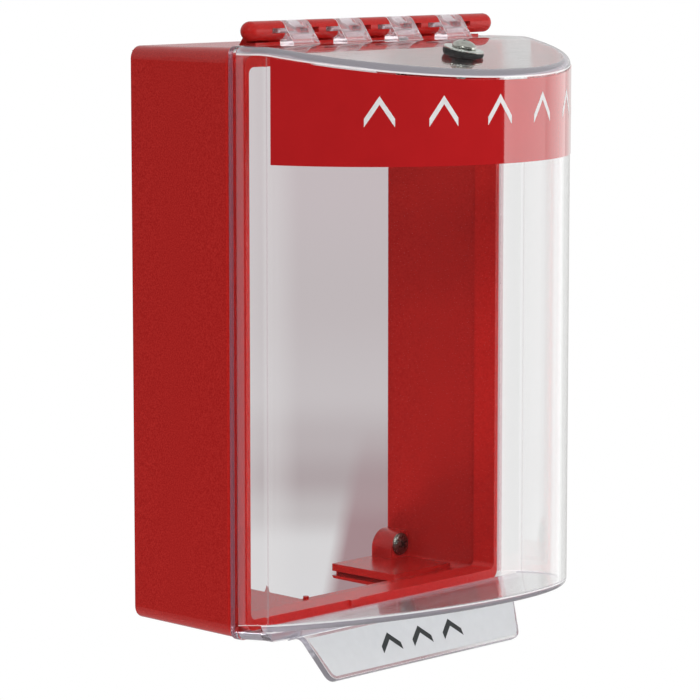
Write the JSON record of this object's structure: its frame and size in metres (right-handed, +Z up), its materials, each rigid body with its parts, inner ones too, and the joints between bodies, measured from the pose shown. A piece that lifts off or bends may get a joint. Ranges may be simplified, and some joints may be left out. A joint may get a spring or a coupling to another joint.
{
  "type": "hinged wall station cover",
  "caption": "Clear bowed protective cover hinged at the top of a red open-backed wall box, lifted by a front tab, for a wall-mounted call point.",
  "frame": {"origin": "centre of the open back, in the wall plane, which is also the centre of the four wall screws", "axes": "+Z up, +Y into the wall, the front faces -Y, +X to the right seen from the front"},
  "size_m": [0.146, 0.1341, 0.2402],
  "materials": {
    "red_plastic": "fine moulded satin",
    "clear_plastic": "clear polished polycarbonate",
    "screw_steel": "dark zinc plated",
    "zinc_steel": "zinc plated",
    "black_rubber": "matte",
    "red_film": "smooth printed film",
    "grey_film": "smooth printed film"
  },
  "bodies": {
    "housing": {"spacer_box": "red_plastic", "hinge_frame": "red_plastic", "wall_screws": "screw_steel"},
    "cover": {"clear_cover": "clear_plastic", "rubber_washer": "black_rubber", "steel_washer": "zinc_steel", "cover_screw": "screw_steel", "inner_washer": "zinc_steel", "lock_nut": "zinc_steel", "banner_label": "red_film", "tab_label": "grey_film"}
  },
  "joints": [
    {"name": "cover_hinge", "type": "hinge", "parent": "housing", "child": "cover", "pos_m": [0, -0.054, 0.1137], "axis": [-1, 0, 0], "range_deg": [0, 110]}
  ]
}
